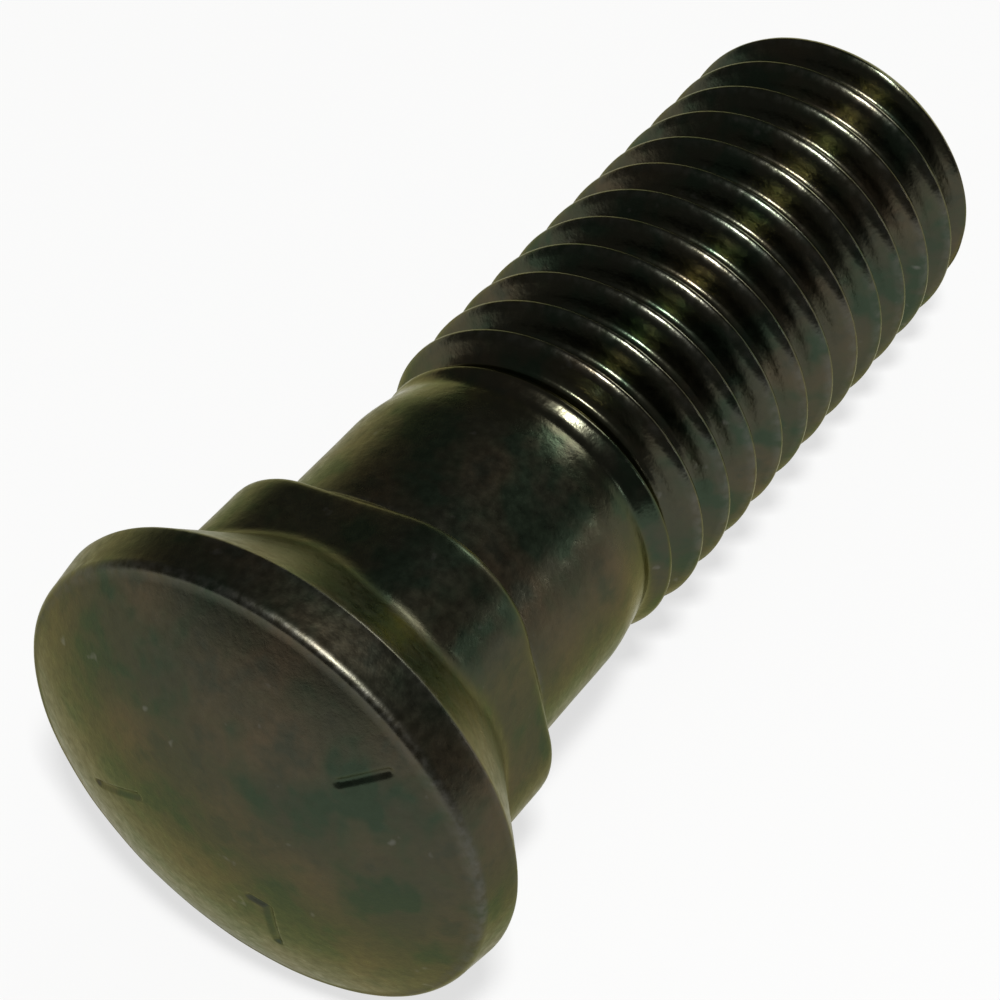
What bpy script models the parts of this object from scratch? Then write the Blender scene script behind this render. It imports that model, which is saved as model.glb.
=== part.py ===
"""A plow bolt lying on its side: domed round head, square neck, coarse helical thread.

The bolt is one forged and rolled piece. It is first made upright along its own
axis, with the head down, and is then laid on its side as it comes to rest.
Lengths along the bolt are measured from the front of the head's rim.
"""

from math import atan2, cos, pi, radians, sin, sqrt, tan

import bmesh
import bpy
from mathutils import Matrix

# Driving sizes of the thread: five eighths of an inch, eleven threads to the inch
THREAD_RADIUS = 0.0079375
THREAD_PITCH = 0.00230909
CREST_SHARE = 1 / 8
ROOT_SHARE = 1 / 4
FLANK_ANGLE = radians(30)
THREAD_LENGTH = 0.03
RUN_OUT_TURNS = 1.4

# Driving sizes of the head
HEAD_RADIUS = 0.01185
RIM_FLARE = 0.00025
RIM_HEIGHT = 0.0022
EDGE_ROUND_HEIGHT = 0.00055
EDGE_ROUND_WIDTH = 0.0004
DOME_HEIGHT = 0.0028
CONE_HALF_ANGLE = radians(40)
CONE_TOP_SHARE = 0.9

# Driving sizes of the square neck
NECK_WIDTH = 0.0159
NECK_CORNER_RADIUS = 0.0052
NECK_LENGTH = 0.0082
NECK_END_ROUND = 0.0005
NECK_TURN = radians(75)

# Driving sizes of the plain shank and the pointed tip
SHANK_RADIUS = 0.00764
SHANK_LENGTH = 0.0062
SHANK_TAPERED_RADIUS = 0.0072
SHANK_TAPER_LENGTH = 0.0034
TAPER_BEFORE_THREAD = 0.002
TIP_LENGTH = 0.0014
TIP_RADIUS = 0.0069
TIP_FADE_TURNS = 0.7
TIP_GAP_TURNS = 1 / 12

# How finely round forms are cut into flats
ROUND_STEPS = 48
EDGE_ROUND_STEPS = 3
DOME_STEPS = 8
NECK_CORNER_STEPS = 6
NECK_END_STEPS = 2
SHANK_TAPER_STEPS = 4
SHARP_ANGLE = radians(32)
MERGE_DISTANCE = 0.000001

# Sizes that follow from the driving ones
RIM_FRONT_RADIUS = HEAD_RADIUS - RIM_FLARE
NECK_END = RIM_HEIGHT + NECK_LENGTH
SHANK_TAPER_START = NECK_END + SHANK_LENGTH
THREAD_START = SHANK_TAPER_START + TAPER_BEFORE_THREAD
BOLT_END = THREAD_START + THREAD_LENGTH
FLANK_SHARE = (1 - CREST_SHARE - ROOT_SHARE) / 2
ROOT_RADIUS = THREAD_RADIUS - FLANK_SHARE * THREAD_PITCH / tan(FLANK_ANGLE)
ROW_SHARES = (0, CREST_SHARE, CREST_SHARE + FLANK_SHARE, CREST_SHARE + FLANK_SHARE + ROOT_SHARE)
ROW_IS_CREST = (True, True, False, False)
ROWS = len(ROW_SHARES)
STEP_ANGLE = 2 * pi / ROUND_STEPS
CONE_TOP_RADIUS = ROOT_RADIUS * CONE_TOP_SHARE
TIP_GAP = THREAD_PITCH * TIP_GAP_TURNS


def clear_scene():
    for old in list(bpy.data.objects):
        bpy.data.objects.remove(old)


def make_collection(name):
    collection = bpy.data.collections.new(name)
    bpy.context.scene.collection.children.link(collection)
    return collection


def blackened_steel():
    material = bpy.data.materials.new("blackened_steel")
    material.use_nodes = True
    surface = material.node_tree.nodes["Principled BSDF"]
    surface.inputs["Base Color"].default_value = (0.032, 0.033, 0.028, 1)
    surface.inputs["Roughness"].default_value = 0.42
    surface.inputs["Metallic"].default_value = 0.85
    return material


def make_object(name, mesh, collection):
    made = bpy.data.objects.new(name, mesh)
    collection.objects.link(made)
    return made


def ease(share):
    """Rise smoothly from 0 to 1 while share goes from 0 to 1."""
    share = min(max(share, 0), 1)
    return share * share * (3 - 2 * share)


def column_angle(column):
    """Angle of a column of vertices; half a step keeps a flat facing +X."""
    return (column + 0.5) * STEP_ANGLE


def blank_radius(along):
    """Radius of the plain shank, which narrows just before the thread."""
    share = (along - SHANK_TAPER_START) / SHANK_TAPER_LENGTH
    return SHANK_RADIUS + (SHANK_TAPERED_RADIUS - SHANK_RADIUS) * ease(share)


def tip_radius(along):
    """Largest radius that the tapered tip leaves at this place."""
    share = max(0, (along - (BOLT_END - TIP_LENGTH)) / TIP_LENGTH)
    return THREAD_RADIUS - (THREAD_RADIUS - TIP_RADIUS) * share ** 2


def thread_radius(along, is_crest):
    """Radius of a crest or root, which grows at the run-out and fades at the tip."""
    full = THREAD_RADIUS if is_crest else ROOT_RADIUS
    grown = ease((along - THREAD_START) / (RUN_OUT_TURNS * THREAD_PITCH))
    radius = blank_radius(along) + (full - blank_radius(along)) * grown
    limit = tip_radius(along)
    kept = ease((BOLT_END - along) / (TIP_FADE_TURNS * THREAD_PITCH))
    return limit + (min(radius, limit) - limit) * kept


def row_height(row, column):
    """Place along the bolt of one row of the helix in one column."""
    turns = row // ROWS + ROW_SHARES[row % ROWS] + column / ROUND_STEPS
    return THREAD_START + turns * THREAD_PITCH


def rows_in_column(column):
    """Rows of the helix between the start of the thread and the end face."""
    first = 0
    while row_height(first - 1, column) > THREAD_START:
        first -= 1
    last = first
    while row_height(last + 1, column) < BOLT_END - TIP_GAP:
        last += 1
    return range(first, last + 1)


def add_vertex(form, radius, angle, along):
    return form.verts.new((radius * cos(angle), radius * sin(angle), along))


def add_ring(form, radius, along):
    return [add_vertex(form, radius, column_angle(i), along) for i in range(ROUND_STEPS)]


def shank_heights():
    """Rings of the plain shank, from inside the head to the start of the thread."""
    heights = [RIM_HEIGHT, SHANK_TAPER_START]
    for step in range(1, SHANK_TAPER_STEPS):
        heights.append(SHANK_TAPER_START + TAPER_BEFORE_THREAD * step / SHANK_TAPER_STEPS)
    return heights


def helix_column(form, column):
    """The vertices of one column of the helix, by row."""
    vertices = {}
    for row in rows_in_column(column):
        along = row_height(row, column)
        radius = thread_radius(along, ROW_IS_CREST[row % ROWS])
        vertices[row] = add_vertex(form, radius, column_angle(column), along)
    return vertices


def threaded_shank_mesh():
    """The shank with its helical thread, as one closed skin, mostly of quads."""
    form = bmesh.new()
    rings = [add_ring(form, blank_radius(height), height) for height in shank_heights()]
    end_ring = add_ring(form, TIP_RADIUS, BOLT_END)
    helix = [helix_column(form, column) for column in range(ROUND_STEPS)]
    form.faces.new(list(reversed(rings[0])))
    form.faces.new(end_ring)
    for column in range(ROUND_STEPS):
        following = (column + 1) % ROUND_STEPS
        # Past the last column each row goes on as the row one turn higher
        shift = ROWS if following == 0 else 0
        left = helix[column]
        right = helix[following]
        lowest = min(left)
        highest = max(right) - shift
        for lower, upper in zip(rings, rings[1:]):
            form.faces.new((lower[column], lower[following], upper[following], upper[column]))
        start = [rings[-1][column], rings[-1][following]]
        start += [right[row] for row in range(min(right), lowest + shift + 1)]
        form.faces.new(start + [left[lowest]])
        for row in range(lowest, highest):
            turned = row + shift
            form.faces.new((left[row], right[turned], right[turned + 1], left[row + 1]))
        finish = [left[highest], right[highest + shift], end_ring[following], end_ring[column]]
        finish += [left[row] for row in range(max(left), highest, -1)]
        form.faces.new(finish)
    bmesh.ops.recalc_face_normals(form, faces=form.faces[:])
    mesh = bpy.data.meshes.new("threaded_shank")
    form.to_mesh(mesh)
    form.free()
    return mesh


def head_profile():
    """Half outline of the head, down its outer side from the cone to the dome's middle."""
    cone_height = (HEAD_RADIUS - CONE_TOP_RADIUS) / tan(CONE_HALF_ANGLE)
    points = [(0, RIM_HEIGHT + cone_height), (CONE_TOP_RADIUS, RIM_HEIGHT + cone_height)]
    points.append((HEAD_RADIUS, RIM_HEIGHT))
    for step in range(EDGE_ROUND_STEPS + 1):
        turn = step / EDGE_ROUND_STEPS * pi / 2
        radius = RIM_FRONT_RADIUS - EDGE_ROUND_WIDTH * (1 - cos(turn))
        points.append((radius, EDGE_ROUND_HEIGHT * (1 - sin(turn))))
    dome_edge = RIM_FRONT_RADIUS - EDGE_ROUND_WIDTH
    sphere = (dome_edge ** 2 + DOME_HEIGHT ** 2) / (2 * DOME_HEIGHT)
    for step in range(1, DOME_STEPS + 1):
        radius = dome_edge * (1 - step / DOME_STEPS)
        points.append((radius, sphere - DOME_HEIGHT - sqrt(sphere ** 2 - radius ** 2)))
    return points


def make_head(collection):
    """The domed head and the cone under it, turned about the bolt's axis."""
    form = bmesh.new()
    corners = [add_vertex(form, radius, column_angle(0), along) for radius, along in head_profile()]
    for upper, lower in zip(corners, corners[1:]):
        form.edges.new((upper, lower))
    mesh = bpy.data.meshes.new("head_profile")
    form.to_mesh(mesh)
    form.free()
    head = make_object("head_form", mesh, collection)
    turning = head.modifiers.new("turn", "SCREW")
    turning.axis = "Z"
    turning.steps = ROUND_STEPS
    turning.render_steps = ROUND_STEPS
    turning.use_merge_vertices = True
    turning.merge_threshold = MERGE_DISTANCE
    return head


def bevel_edges(form, edges, width, steps):
    bmesh.ops.bevel(form, geom=edges, offset=width, segments=steps, profile=0.5,
                    affect="EDGES", clamp_overlap=True, material=-1)


def make_neck(collection):
    """The square neck: rounded corners and a softly rounded far end."""
    start = RIM_HEIGHT / 2
    form = bmesh.new()
    bmesh.ops.create_cube(form, size=1)
    bmesh.ops.scale(form, vec=(NECK_WIDTH, NECK_WIDTH, NECK_END - start), verts=form.verts[:])
    bmesh.ops.translate(form, vec=(0, 0, (NECK_END + start) / 2), verts=form.verts[:])
    upright = [edge for edge in form.edges if edge.verts[0].co.xy == edge.verts[1].co.xy]
    bevel_edges(form, upright, NECK_CORNER_RADIUS, NECK_CORNER_STEPS)
    far_end = max(form.faces, key=lambda face: face.calc_center_median().z)
    bevel_edges(form, far_end.edges[:], NECK_END_ROUND, NECK_END_STEPS)
    bmesh.ops.rotate(form, matrix=Matrix.Rotation(NECK_TURN, 3, "Z"), verts=form.verts[:])
    bmesh.ops.recalc_face_normals(form, faces=form.faces[:])
    mesh = bpy.data.meshes.new("square_neck")
    form.to_mesh(mesh)
    form.free()
    return make_object("neck_form", mesh, collection)


def join_form(target, added):
    """Unite one form with the bolt."""
    added.hide_render = True
    added.display_type = "WIRE"
    union = target.modifiers.new("add_" + added.name, "BOOLEAN")
    union.operation = "UNION"
    union.solver = "EXACT"
    union.object = added


def keep_result(target):
    """Replace an object's mesh by what its modifiers make of it."""
    bpy.context.view_layer.update()
    settled = target.evaluated_get(bpy.context.evaluated_depsgraph_get())
    mesh = bpy.data.meshes.new_from_object(settled)
    target.modifiers.clear()
    target.data = mesh


def rest_pitch(mesh):
    """Angle at which the bolt lies on its rim and on its thread crests."""
    flat_share = cos(STEP_ANGLE / 2)
    pitches = []
    for vertex in mesh.vertices:
        if vertex.co.z > NECK_END:
            drop = HEAD_RADIUS * flat_share - vertex.co.x
            pitches.append(atan2(drop, vertex.co.z - RIM_HEIGHT))
    return min(pitches)


def lay_down(bolt):
    """Lay the bolt along +X with its lowest points on the ground and its middle at the origin."""
    turn = Matrix.Rotation(pi / 2 + rest_pitch(bolt.data), 4, "Y")
    bolt.data.transform(turn)
    lows = [min(vertex.co[axis] for vertex in bolt.data.vertices) for axis in range(3)]
    highs = [max(vertex.co[axis] for vertex in bolt.data.vertices) for axis in range(3)]
    middle_x = (lows[0] + highs[0]) / 2
    middle_y = (lows[1] + highs[1]) / 2
    bolt.data.transform(Matrix.Translation((-middle_x, -middle_y, -lows[2])))


def build():
    clear_scene()
    parts = make_collection("plow_bolt_object")
    forms = make_collection("forms")
    bolt = make_object("plow_bolt", threaded_shank_mesh(), parts)
    neck = make_neck(forms)
    head = make_head(forms)
    join_form(bolt, neck)
    join_form(bolt, head)
    keep_result(bolt)
    lay_down(bolt)
    bolt.data.materials.clear()
    bolt.data.materials.append(blackened_steel())
    bolt.data.shade_smooth()
    bolt.data.set_sharp_from_angle(angle=SHARP_ANGLE)


build()
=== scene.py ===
from math import atan2, cos, exp, hypot, pi, radians, sin, sqrt, tan

import bmesh
import bpy
from mathutils import Matrix, Vector, noise


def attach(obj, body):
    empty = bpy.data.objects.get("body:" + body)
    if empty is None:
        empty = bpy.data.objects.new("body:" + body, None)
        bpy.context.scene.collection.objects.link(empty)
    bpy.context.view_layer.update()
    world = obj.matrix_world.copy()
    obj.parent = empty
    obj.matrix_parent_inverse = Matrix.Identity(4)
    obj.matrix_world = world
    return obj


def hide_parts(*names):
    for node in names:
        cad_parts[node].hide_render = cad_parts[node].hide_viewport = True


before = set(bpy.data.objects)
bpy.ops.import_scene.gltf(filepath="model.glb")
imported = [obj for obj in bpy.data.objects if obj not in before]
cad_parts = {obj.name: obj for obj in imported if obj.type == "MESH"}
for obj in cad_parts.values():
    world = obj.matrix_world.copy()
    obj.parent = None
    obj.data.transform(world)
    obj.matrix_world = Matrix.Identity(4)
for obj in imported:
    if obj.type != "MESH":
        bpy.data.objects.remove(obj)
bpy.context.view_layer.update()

# The solid has this many flats a turn, and the skin stays just inside them
SOLID_FLATS = 48
FACET_SHARE = cos(pi / SOLID_FLATS)

# Sizes of the thread in metres, with places measured along the bolt from the front of the head's rim
INCH = 0.0254
THREADS_TO_THE_INCH = 11
THREAD_PITCH = INCH / THREADS_TO_THE_INCH
THREAD_RADIUS = 0.0079375 * FACET_SHARE
ROOT_RADIUS = 0.0066877
THREAD_START = 0.0186
RUN_OUT_TURNS = 1.4

# The middle of the first crest, in pitches behind the thread's start
FIRST_CREST = 1 / 16 - 0.5 / SOLID_FLATS

# The thread's outline: places in pitches from the middle of a crest, depths in shares of its height
CREST_EDGE = 0.07
ROOT_EDGE = 0.385
CREST_ROUND_MIDDLE = 0.065
CREST_ROUND_WIDTH = 0.03
CREST_ROUND_DEPTH = 0.06
ROOT_ROUND_WIDTH = 0.06
ROOT_ROUND_DEPTH = 0.05

# Sizes of the head, the neck, the shank and the tip in metres
HEAD_RADIUS = 0.01185 * FACET_SHARE
RIM_FRONT_RADIUS = 0.0116 * FACET_SHARE
RIM_HEIGHT = 0.0022
EDGE_ROUND_HEIGHT = 0.00055
EDGE_ROUND_WIDTH = 0.0004
DOME_EDGE = RIM_FRONT_RADIUS - EDGE_ROUND_WIDTH
DOME_HEIGHT = 0.0028
DOME_SPHERE = (DOME_EDGE ** 2 + DOME_HEIGHT ** 2) / (2 * DOME_HEIGHT)
CONE_HALF_ANGLE = radians(40)
NECK_WIDTH = 0.0159
NECK_CORNER_RADIUS = 0.0052
NECK_END = 0.0104
NECK_END_ROUND = 0.0008
NECK_TURN = radians(75)
NECK_FILLET = 0.0004
NECK_MEETS_SHANK = 0.0002
CONE_MEETS_NECK = 0.0005
RIM_MEETS_CONE = 0.00012
SHANK_RADIUS = 0.00762
SHANK_TAPERED_RADIUS = 0.0072
SHANK_TAPER_START = 0.0166
SHANK_TAPER_LENGTH = 0.0034
BOLT_END = 0.0486
TIP_LENGTH = 0.0014
TIP_RADIUS = 0.00688
TIP_FADE_TURNS = 0.7

# How the bolt lies: its axis dips towards the thread
REST_DIP = radians(5.025390314)
REST_PLACE = Vector((-0.02307287, 0, 0.01197189))

# The three plain strokes struck into the face, each as places at a radius and an angle in degrees
STROKES = (
    ((0.0081, -138), (0.0101, -135)),
    ((0.0072, 67), (0.0039, 79)),
    ((0.0036, -33), (0.0042, -41), (0.0069, -24)),
)
STROKE_HALF_WIDTH = 0.0003
STROKE_DEPTH = 0.00012
STROKE_REFINED = 0.0007
STROKE_CUTS = 3

# How finely the bolt is cut
COLUMNS = 240
DOME_RINGS = 40
EDGE_RINGS = 10
END_RINGS = 6
WELD = 0.000005

# Rows of faces from the head's edge to the thread: where each stretch starts and ends, and its rows
RIM_BAND = 0.0001
CORNERS_BEGIN = 0.0050
FLATS_BEGIN = 0.0073
NECK_END_BAND = 0.0006
SKIN_ROWS = (
    (EDGE_ROUND_HEIGHT, RIM_HEIGHT - RIM_BAND, 6),
    (RIM_HEIGHT - RIM_BAND, RIM_HEIGHT + RIM_BAND, 4),
    (RIM_HEIGHT + RIM_BAND, CORNERS_BEGIN, 13),
    (CORNERS_BEGIN, FLATS_BEGIN, 21),
    (FLATS_BEGIN, NECK_END - NECK_END_BAND, 10),
    (NECK_END - NECK_END_BAND, NECK_END + NECK_END_BAND, 22),
    (NECK_END + NECK_END_BAND, THREAD_START, 34),
)

# Rows of faces across one turn of thread, in pitches from the middle of its crest
THREAD_TURNS = 15
THREAD_ROWS = (
    0, 0.035, 0.06, 0.085, 0.16, 0.27, 0.36, 0.41,
    0.5, 0.59, 0.64, 0.73, 0.84, 0.915, 0.94, 0.965,
)

# Unevenness of the skin: how many times a metre it changes, and how deep it is pressed in
BROAD_CHANGES = 420
BROAD_OFFSET = Vector((3, 1, 7))
FORGED_DEPTH = 0.000030
ROLLED_DEPTH = 0.000008
SMALL_CHANGES = 1500
SMALL_OFFSET = Vector((9, 5, 2))
SMALL_DEPTH = 0.000006

# Where handling has rubbed the black off, how much from 0 to 1, and over what width in metres
RIM_BEGINS = DOME_EDGE * 0.99
FACE_EDGE_WORN_AT = EDGE_ROUND_HEIGHT * 0.35
FACE_EDGE_WEAR = 0.7
FACE_EDGE_WEAR_WIDTH = 0.0002
RIM_WEAR = 0.6
RIM_WEAR_WIDTH = 0.00012
NECK_WORN_FROM = NECK_END - 0.002
NECK_WORN_TO = NECK_END + 0.001
NECK_WORN_AT = NECK_END - 0.0001
NECK_WEAR = 0.3
NECK_CORNER_WEAR = 5
NECK_WEAR_WIDTH = 0.00022
CREST_WEAR = 0.5
CREST_WORN_FROM = THREAD_RADIUS * 0.975
CREST_WEAR_WIDTH = THREAD_RADIUS * 0.02

# Colours of the black oxide on the steel
OXIDE_GREEN = (0.038, 0.054, 0.035, 1)
OXIDE_BROWN = (0.087, 0.069, 0.044, 1)
OXIDE_STAIN = (0.052, 0.054, 0.038, 1)
BARE_SPECK = (0.15, 0.148, 0.13, 1)
WORN_STEEL = (0.13, 0.128, 0.112, 1)
GRAZING_TINT = (0.74, 0.72, 0.50, 1)

# Widths of the steel's patches, stains, specks and grain, and heights of its bumps, in metres
PATCH_SIZE = 0.0038
STAIN_SIZE = 0.0019
SPECK_SIZE = 0.0011
GRAIN_SIZE = 0.00045
FINE_SIZE = 0.00014
GRAIN_HEIGHT = 0.00004
FINE_HEIGHT = 0.000012

# Sockets of the Mix node, which it numbers by the kind of value that it mixes
MIX_NUMBER = {"factor": 0, "first": 2, "second": 3, "result": 0}
MIX_COLOUR = {"factor": 0, "first": 6, "second": 7, "result": 2}

# The camera
CAMERA_PLACE = Vector((-0.0768343, -0.0486784, 0.1205101))
CAMERA_AZIMUTH = 304.0
CAMERA_ELEVATION = 51.274
CAMERA_SENSOR = 36
CAMERA_LENS = 113.886
CAMERA_NEAREST = 0.005

# The room: soft boxes by azimuth, elevation, width in metres and watts, all at one distance
SOFT_BOX_DISTANCE = 0.7
SOFT_BOXES = {
    "key_light": (315, 71.5, 0.09, 4.4),
    "back_light": (84, 16, 0.2, 0.9),
    "side_light": (40, 10, 0.06, 0.12),
}
WORLD_COLOUR = (1, 1, 1, 1)
WORLD_STRENGTH = 0.095
FLOOR_COLOUR = (0.90, 0.90, 0.89, 1)
FLOOR_ROUGHNESS = 0.8
FLOOR_GLOSS = 0.2
FLOOR_REACH = 3
FLOOR_SQUARES = 8
WHITE_SHARE = 0.7


def ease(share):
    """Rise smoothly from 0 to 1 while share goes from 0 to 1."""
    share = min(max(share, 0), 1)
    return share * share * (3 - 2 * share)


def peak(place, middle, width):
    """1 at the middle, falling straight to 0 at one width from it."""
    return max(0, 1 - abs(place - middle) / width)


def band(place, middle, width):
    """1 at the middle, fading smoothly on both sides of it."""
    return exp(-((place - middle) / width) ** 2)


def soft_max(first, second, width):
    """The larger of two radii, with a small fillet where they cross."""
    near = max(width - abs(first - second), 0) / width
    return max(first, second) + near * near * width / 4


def neck_radius(angle, inset):
    """Radius of the square neck with rounded corners, made smaller all round by inset."""
    half = NECK_WIDTH / 2 - inset
    corner = NECK_CORNER_RADIUS - inset
    reach = half - corner
    folded = (angle - NECK_TURN) % (pi / 2)
    folded = min(folded, pi / 2 - folded)
    if half * tan(folded) <= reach:
        return half / cos(folded)
    across = corner ** 2 - reach ** 2 * (1 - sin(2 * folded))
    return reach * (cos(folded) + sin(folded)) + sqrt(across)


def shank_radius(along):
    """Radius of the plain shank, which narrows just before the thread."""
    share = (along - SHANK_TAPER_START) / SHANK_TAPER_LENGTH
    return SHANK_RADIUS + (SHANK_TAPERED_RADIUS - SHANK_RADIUS) * ease(share)


def under_face_radius(angle, along):
    """Radius of the rim, the cone, the neck and the shank at one place."""
    shank = shank_radius(along)
    if along >= NECK_END + NECK_FILLET:
        return shank
    if along > NECK_END:
        left = 1 - (along - NECK_END) / NECK_FILLET
        fillet = shank + NECK_FILLET * (1 - sqrt(1 - left ** 2))
        end_face = min(neck_radius(angle, NECK_END_ROUND), fillet)
        return soft_max(end_face, shank, NECK_MEETS_SHANK * left)
    rounded = max(0, (along - NECK_END + NECK_END_ROUND) / NECK_END_ROUND)
    neck = neck_radius(angle, NECK_END_ROUND * (1 - sqrt(1 - rounded ** 2)))
    cone = HEAD_RADIUS - (along - RIM_HEIGHT) * tan(CONE_HALF_ANGLE)
    outer = soft_max(soft_max(neck, shank, NECK_MEETS_SHANK), cone, CONE_MEETS_NECK)
    rim_share = (along - EDGE_ROUND_HEIGHT) / (RIM_HEIGHT - EDGE_ROUND_HEIGHT)
    rim = RIM_FRONT_RADIUS + (HEAD_RADIUS - RIM_FRONT_RADIUS) * rim_share
    return -soft_max(-outer, -rim, RIM_MEETS_CONE)


def thread_profile(share):
    """Height of the thread from root 0 to crest 1, with softly rounded crest and root."""
    from_crest = min(share, 1 - share)
    flank = (from_crest - CREST_EDGE) / (ROOT_EDGE - CREST_EDGE)
    slope = 1 - min(max(flank, 0), 1)
    crest_round = peak(from_crest, CREST_ROUND_MIDDLE, CREST_ROUND_WIDTH) * CREST_ROUND_DEPTH
    root_round = peak(from_crest, ROOT_EDGE, ROOT_ROUND_WIDTH) * ROOT_ROUND_DEPTH
    return slope - crest_round + root_round


def threaded_radius(angle, along):
    """Radius of the threaded end at one place, with its run-out and its tapered tip."""
    turned = angle % (2 * pi) / (2 * pi)
    share = ((along - THREAD_START) / THREAD_PITCH - turned - FIRST_CREST) % 1
    full = ROOT_RADIUS + (THREAD_RADIUS - ROOT_RADIUS) * thread_profile(share)
    grown = ease((along - THREAD_START) / (RUN_OUT_TURNS * THREAD_PITCH))
    blank = shank_radius(along)
    radius = blank + (full - blank) * grown
    tip_share = max(0, (along - (BOLT_END - TIP_LENGTH)) / TIP_LENGTH)
    limit = THREAD_RADIUS - (THREAD_RADIUS - TIP_RADIUS) * tip_share ** 2
    kept = ease((BOLT_END - along) / (TIP_FADE_TURNS * THREAD_PITCH))
    return limit + (min(radius, limit) - limit) * kept


def steps(start, end, count):
    """Places after start up to and with end, evenly spaced."""
    return [start + (end - start) * (k + 1) / count for k in range(count)]


def dome_place(radius):
    """Place along the bolt of the domed face, at one distance from its middle."""
    return DOME_SPHERE - DOME_HEIGHT - sqrt(DOME_SPHERE ** 2 - radius ** 2)


def face_place(radius, degrees):
    """A place on the face, given by its distance from the middle and its angle."""
    angle = radians(degrees)
    return Vector((radius * cos(angle), radius * sin(angle)))


def stroke_distance(x, y):
    """Distance of a place on the face from the nearest struck stroke."""
    nearest = DOME_EDGE
    for stroke in STROKES:
        places = [face_place(radius, degrees) for radius, degrees in stroke]
        for first, second in zip(places, places[1:]):
            run = second - first
            share = (Vector((x, y)) - first).dot(run) / run.length_squared
            foot = first + run * min(max(share, 0), 1)
            nearest = min(nearest, hypot(x - foot.x, y - foot.y))
    return nearest


def strike_face(form):
    """Cut the face more finely near the three strokes, and strike them into it."""
    near = []
    for face in form.faces:
        middle = face.calc_center_median()
        if middle.z < 0 and stroke_distance(middle.x, middle.y) < STROKE_REFINED:
            near.append(face)
    edges = list(dict.fromkeys(edge for face in near for edge in face.edges))
    bmesh.ops.subdivide_edges(form, edges=edges, cuts=STROKE_CUTS, use_grid_fill=True)
    for point in form.verts:
        radius = hypot(point.co.x, point.co.y)
        if point.co.z < 0 and radius < DOME_EDGE:
            from_stroke = stroke_distance(point.co.x, point.co.y)
            depth = STROKE_DEPTH * ease(1 - from_stroke / STROKE_HALF_WIDTH)
            point.co.z = dome_place(radius) + depth


def press_unevenly(form):
    """Press the skin in a little here and there, as scale and tools leave it."""
    form.normal_update()
    moves = []
    for point in form.verts:
        broad = noise.noise(point.co * BROAD_CHANGES + BROAD_OFFSET)
        small = noise.noise(point.co * SMALL_CHANGES + SMALL_OFFSET)
        thread = ease((point.co.z - THREAD_START) / THREAD_PITCH)
        pressed = (FORGED_DEPTH * (1 - thread) + ROLLED_DEPTH * thread) * (broad + 1) / 2
        pressed += SMALL_DEPTH * (small + 1) / 2
        moves.append(point.normal * -pressed)
    for point, move in zip(form.verts, moves):
        point.co += move


def head_outline():
    """Half outline of the bolt from the dome's middle to the start of the thread."""
    outline = [(radius, dome_place(radius)) for radius in [0] + steps(0, DOME_EDGE, DOME_RINGS)]
    for turn in steps(0, pi / 2, EDGE_RINGS):
        radius = DOME_EDGE + EDGE_ROUND_WIDTH * sin(turn)
        outline.append((radius, EDGE_ROUND_HEIGHT * (1 - cos(turn))))
    for start, end, rows in SKIN_ROWS:
        outline += [(HEAD_RADIUS, along) for along in steps(start, end, rows)]
    return outline


def turned_shell(outline):
    """A skin turned about the bolt's axis from its half outline."""
    form = bmesh.new()
    points = [form.verts.new((radius, 0, along)) for radius, along in outline]
    for first, second in zip(points, points[1:]):
        form.edges.new((first, second))
    bmesh.ops.spin(form, geom=form.verts[:] + form.edges[:], cent=(0, 0, 0), axis=(0, 0, 1),
                   angle=2 * pi, steps=COLUMNS, use_merge=True)
    bmesh.ops.remove_doubles(form, verts=form.verts[:], dist=WELD)
    return form


def thread_shell():
    """A helical skin: one turn is spun with its rise and is then repeated along the bolt."""
    form = bmesh.new()
    shares = THREAD_ROWS + (1,)
    places = [THREAD_START + (share + FIRST_CREST - 1) * THREAD_PITCH for share in shares]
    points = [form.verts.new((THREAD_RADIUS, 0, along)) for along in places]
    for first, second in zip(points, points[1:]):
        form.edges.new((first, second))
    bmesh.ops.spin(form, geom=form.verts[:] + form.edges[:], cent=(0, 0, 0), axis=(0, 0, 1),
                   dvec=(0, 0, THREAD_PITCH / COLUMNS), angle=2 * pi, steps=COLUMNS)
    one_turn = form.verts[:] + form.edges[:] + form.faces[:]
    for turn in range(-1, THREAD_TURNS):
        copied = bmesh.ops.duplicate(form, geom=one_turn)["geom"]
        moved = [part for part in copied if isinstance(part, bmesh.types.BMVert)]
        bmesh.ops.translate(form, verts=moved, vec=(0, 0, THREAD_PITCH * turn))
    bmesh.ops.delete(form, geom=one_turn, context="VERTS")
    bmesh.ops.remove_doubles(form, verts=form.verts[:], dist=WELD)
    for point in form.verts:
        point.co.z = min(max(point.co.z, THREAD_START), BOLT_END)
    bmesh.ops.remove_doubles(form, verts=form.verts[:], dist=WELD)
    return form


def set_radius(point, radius):
    """Move a point straight out from the bolt's axis or in towards it."""
    present = hypot(point.co.x, point.co.y)
    point.co.x *= radius / present
    point.co.y *= radius / present


def add_shell(form, shell):
    """Move a skin into the bolt's own."""
    loose = bpy.data.meshes.new("loose")
    shell.to_mesh(loose)
    shell.free()
    form.from_mesh(loose)
    bpy.data.meshes.remove(loose)


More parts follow.
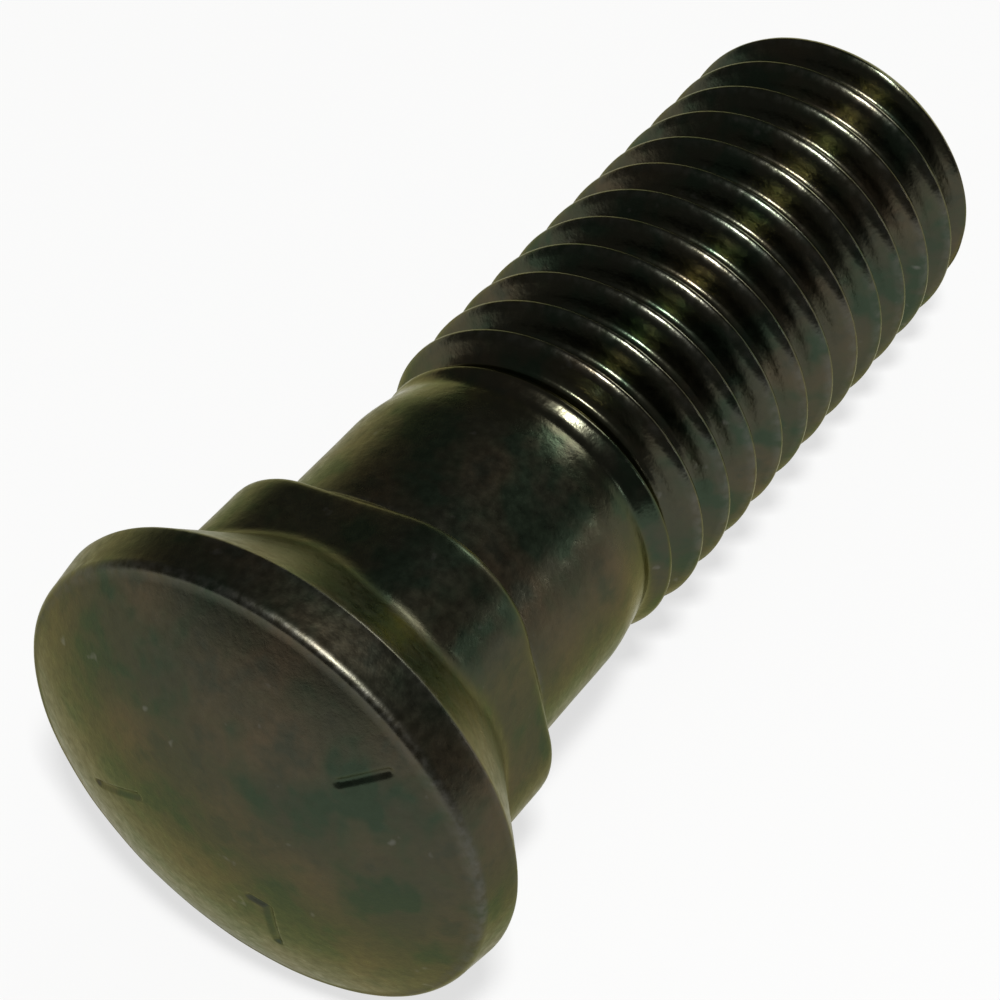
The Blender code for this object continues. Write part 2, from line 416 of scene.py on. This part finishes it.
def bolt_form():
    """The whole bolt as one closed skin, upright along its axis."""
    form = turned_shell(head_outline())
    strike_face(form)
    for point in form.verts:
        if point.co.z > EDGE_ROUND_HEIGHT:
            angle = atan2(point.co.y, point.co.x)
            set_radius(point, under_face_radius(angle, point.co.z))
    thread = thread_shell()
    for point in thread.verts:
        angle = atan2(point.co.y, point.co.x)
        set_radius(point, threaded_radius(angle, point.co.z))
    end_outline = [(TIP_RADIUS * (1 - k / END_RINGS), BOLT_END) for k in range(END_RINGS + 1)]
    add_shell(form, thread)
    add_shell(form, turned_shell(end_outline))
    bmesh.ops.remove_doubles(form, verts=form.verts[:], dist=WELD)
    open_edges = [edge for edge in form.edges if len(edge.link_faces) == 1]
    bmesh.ops.holes_fill(form, edges=open_edges, sides=6)
    bmesh.ops.recalc_face_normals(form, faces=form.faces[:])
    press_unevenly(form)
    mark_finish(form)
    return form


def wear_at(point):
    """How much handling has rubbed the black off at one place, from 0 to 1."""
    angle = atan2(point.y, point.x)
    radius = hypot(point.x, point.y)
    wear = 0
    if radius > RIM_BEGINS:
        face_edge = FACE_EDGE_WEAR * band(point.z, FACE_EDGE_WORN_AT, FACE_EDGE_WEAR_WIDTH)
        wear = max(face_edge, RIM_WEAR * band(point.z, RIM_HEIGHT, RIM_WEAR_WIDTH))
    elif NECK_WORN_FROM < point.z < NECK_WORN_TO:
        stands_out = (neck_radius(angle, 0) - SHANK_RADIUS) / (NECK_WIDTH / 2)
        strength = min(1, NECK_WEAR + NECK_CORNER_WEAR * stands_out)
        wear = strength * band(point.z, NECK_WORN_AT, NECK_WEAR_WIDTH)
    elif point.z > THREAD_START:
        wear = CREST_WEAR * ease((radius - CREST_WORN_FROM) / CREST_WEAR_WIDTH)
    return wear


def mark_finish(form):
    """Mark where the black is rubbed, and where the thread's rolling has smoothed the steel."""
    wear = form.verts.layers.float.new("wear")
    rolled = form.verts.layers.float.new("rolled")
    for point in form.verts:
        point[wear] = wear_at(point.co)
        point[rolled] = ease((point.co.z - THREAD_START) / THREAD_PITCH + 1)


def lay_down(form):
    """Lay the bolt on its rim and thread crests, where the solid lies."""
    turn = Matrix.Rotation(pi / 2 + REST_DIP, 3, "Y")
    bmesh.ops.rotate(form, cent=(0, 0, 0), matrix=turn, verts=form.verts[:])
    bmesh.ops.translate(form, vec=REST_PLACE, verts=form.verts[:])


def add_node(material, kind, **settings):
    """A shader node with its settings and the values of its own sockets."""
    node = material.node_tree.nodes.new(kind)
    for name, value in settings.items():
        if name in node.inputs:
            node.inputs[name].default_value = value
        else:
            setattr(node, name, value)
    return node


def join(material, source, socket, target, into):
    """Link one node's output to another's input."""
    material.node_tree.links.new(source.outputs[socket], target.inputs[into])


def mottling(material, place, size, detail=3.0):
    """Noise whose patches are about this many metres wide."""
    made = add_node(material, "ShaderNodeTexNoise", Scale=1 / size, Detail=detail, Roughness=0.55)
    join(material, place, "Object", made, "Vector")
    return made


def spread(material, source, low, high, to_low, to_high):
    """Stretch a noise's values from one range to another."""
    made = add_node(material, "ShaderNodeMapRange")
    made.inputs["From Min"].default_value = low
    made.inputs["From Max"].default_value = high
    made.inputs["To Min"].default_value = to_low
    made.inputs["To Max"].default_value = to_high
    join(material, source, "Fac", made, "Value")
    return made


def blended(material, factor, socket, first, second):
    """A colour between two, each a colour or the node that gives it."""
    made = add_node(material, "ShaderNodeMix", data_type="RGBA")
    join(material, factor, socket, made, MIX_COLOUR["factor"])
    for side, colour in (("first", first), ("second", second)):
        if isinstance(colour, tuple):
            made.inputs[MIX_COLOUR[side]].default_value = colour
        else:
            join(material, colour, MIX_COLOUR["result"], made, MIX_COLOUR[side])
    return made


def colour_oxide(material, place, grain, surface):
    """Green and brown patches with stains, bare specks and rubbed edges."""
    patches = mottling(material, place, PATCH_SIZE)
    stains = mottling(material, place, STAIN_SIZE)
    specks = mottling(material, place, SPECK_SIZE, detail=2.0)
    hue = spread(material, patches, low=0.40, high=0.60, to_low=0, to_high=1)
    tone = spread(material, stains, low=0.42, high=0.66, to_low=0, to_high=1)
    green_or_brown = blended(material, hue, "Result", OXIDE_GREEN, OXIDE_BROWN)
    mottled = blended(material, tone, "Result", green_or_brown, OXIDE_STAIN)
    bare_specks = spread(material, specks, low=0.70, high=0.78, to_low=0, to_high=0.5)
    speckled = blended(material, bare_specks, "Result", mottled, BARE_SPECK)
    rubbed = add_node(material, "ShaderNodeAttribute", attribute_name="wear")
    patchy = spread(material, grain, low=0.38, high=0.62, to_low=0.1, to_high=0.75)
    worn = add_node(material, "ShaderNodeMath", operation="MULTIPLY")
    join(material, rubbed, "Fac", worn, 0)
    join(material, patchy, "Result", worn, 1)
    colour = blended(material, worn, "Value", speckled, WORN_STEEL)
    join(material, colour, MIX_COLOUR["result"], surface, "Base Color")


def gloss_oxide(material, grain, surface):
    """Oily gloss, smoother where the thread is rolled than where the steel is forged."""
    forged_gloss = spread(material, grain, low=0.3, high=0.7, to_low=0.27, to_high=0.40)
    rolled_gloss = spread(material, grain, low=0.3, high=0.7, to_low=0.18, to_high=0.27)
    rolled = add_node(material, "ShaderNodeAttribute", attribute_name="rolled")
    gloss = add_node(material, "ShaderNodeMix", data_type="FLOAT")
    join(material, rolled, "Fac", gloss, MIX_NUMBER["factor"])
    join(material, forged_gloss, "Result", gloss, MIX_NUMBER["first"])
    join(material, rolled_gloss, "Result", gloss, MIX_NUMBER["second"])
    join(material, gloss, MIX_NUMBER["result"], surface, "Roughness")


def bump_oxide(material, place, grain, surface):
    """Grain of the forged skin, with a finer one on it."""
    fine = mottling(material, place, FINE_SIZE, detail=2.0)
    grain_bump = add_node(material, "ShaderNodeBump", Strength=0.36, Distance=GRAIN_HEIGHT)
    join(material, grain, "Fac", grain_bump, "Height")
    fine_bump = add_node(material, "ShaderNodeBump", Strength=0.35, Distance=FINE_HEIGHT)
    join(material, fine, "Fac", fine_bump, "Height")
    join(material, grain_bump, "Normal", fine_bump, "Normal")
    join(material, fine_bump, "Normal", surface, "Normal")


def blackened_steel():
    """Black oxide on forged steel: oily, mottled green and brown, and rubbed paler on its edges."""
    material = bpy.data.materials.new("blackened_steel")
    material.use_nodes = True
    surface = material.node_tree.nodes["Principled BSDF"]
    surface.inputs["Metallic"].default_value = 1.0
    surface.inputs["Specular Tint"].default_value = GRAZING_TINT
    place = add_node(material, "ShaderNodeTexCoord")
    grain = mottling(material, place, GRAIN_SIZE, detail=4.0)
    colour_oxide(material, place, grain, surface)
    gloss_oxide(material, grain, surface)
    bump_oxide(material, place, grain, surface)
    return material


def add_object(name, thing):
    """An object at the origin that holds a mesh, a lamp or a camera."""
    added = bpy.data.objects.new(name, thing)
    bpy.context.scene.collection.objects.link(added)
    return added


def make_bolt():
    """The bolt as one piece in the solid's place."""
    form = bolt_form()
    lay_down(form)
    mesh = bpy.data.meshes.new("bolt_body")
    form.to_mesh(mesh)
    form.free()
    mesh.shade_smooth()
    mesh.materials.append(blackened_steel())
    bolt = add_object("bolt_body", mesh)
    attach(bolt, "root")
    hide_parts("plow_bolt")


def direction(azimuth, elevation):
    """Unit vector towards a place in the room, azimuth 0 being in front and 90 on the right."""
    turn, rise = radians(azimuth), radians(elevation)
    return Vector((sin(turn) * cos(rise), -cos(turn) * cos(rise), sin(rise)))


def aim(thing, place, towards):
    """Put a camera or a lamp at a place and turn it to look in a direction."""
    thing.location = place
    thing.rotation_mode = "QUATERNION"
    thing.rotation_quaternion = towards.to_track_quat("-Z", "Y")


def make_camera():
    """The camera at the photograph's angle."""
    lens = bpy.data.cameras.new("camera")
    lens.sensor_width = CAMERA_SENSOR
    lens.lens = CAMERA_LENS
    lens.clip_start = CAMERA_NEAREST
    camera = add_object("camera", lens)
    aim(camera, CAMERA_PLACE, -direction(CAMERA_AZIMUTH, CAMERA_ELEVATION))
    bpy.context.scene.camera = camera


def soft_box(name, azimuth, elevation, width, watts):
    """A square soft light that faces the bolt."""
    light = bpy.data.lights.new(name, "AREA")
    light.shape = "SQUARE"
    light.size = width
    light.energy = watts
    away = direction(azimuth, elevation)
    aim(add_object(name, light), away * SOFT_BOX_DISTANCE, -away)


def pale_paint():
    """Pale floor that looks near white, also in the steel, and still takes a soft shadow."""
    material = bpy.data.materials.new("pale_floor")
    material.use_nodes = True
    surface = material.node_tree.nodes["Principled BSDF"]
    surface.inputs["Base Color"].default_value = FLOOR_COLOUR
    surface.inputs["Roughness"].default_value = FLOOR_ROUGHNESS
    surface.inputs["Specular IOR Level"].default_value = FLOOR_GLOSS
    white = add_node(material, "ShaderNodeEmission", Strength=1.0)
    seen = add_node(material, "ShaderNodeLightPath")
    either = add_node(material, "ShaderNodeMath", operation="MAXIMUM")
    join(material, seen, "Is Camera Ray", either, 0)
    join(material, seen, "Is Glossy Ray", either, 1)
    either_or_through = add_node(material, "ShaderNodeMath", operation="MAXIMUM")
    join(material, either, "Value", either_or_through, 0)
    join(material, seen, "Is Transmission Ray", either_or_through, 1)
    share = add_node(material, "ShaderNodeMath", operation="MULTIPLY")
    join(material, either_or_through, "Value", share, 0)
    share.inputs[1].default_value = WHITE_SHARE
    mixed = add_node(material, "ShaderNodeMixShader")
    join(material, share, "Value", mixed, "Fac")
    join(material, surface, "BSDF", mixed, 1)
    join(material, white, "Emission", mixed, 2)
    output = material.node_tree.nodes["Material Output"]
    join(material, mixed, "Shader", output, "Surface")
    return material


def make_room():
    """The pale floor, the soft lights and the even light all round."""
    form = bmesh.new()
    bmesh.ops.create_grid(form, x_segments=FLOOR_SQUARES, y_segments=FLOOR_SQUARES, size=FLOOR_REACH)
    mesh = bpy.data.meshes.new("floor")
    form.to_mesh(mesh)
    form.free()
    mesh.materials.append(pale_paint())
    add_object("floor", mesh)
    for name, (azimuth, elevation, width, watts) in SOFT_BOXES.items():
        soft_box(name, azimuth, elevation, width, watts)
    world = bpy.data.worlds.new("studio")
    bpy.context.scene.world = world
    world.use_nodes = True
    background = world.node_tree.nodes["Background"]
    background.inputs["Color"].default_value = WORLD_COLOUR
    background.inputs["Strength"].default_value = WORLD_STRENGTH


make_bolt()
make_room()
make_camera()
bpy.context.scene.view_settings.view_transform = "Standard"
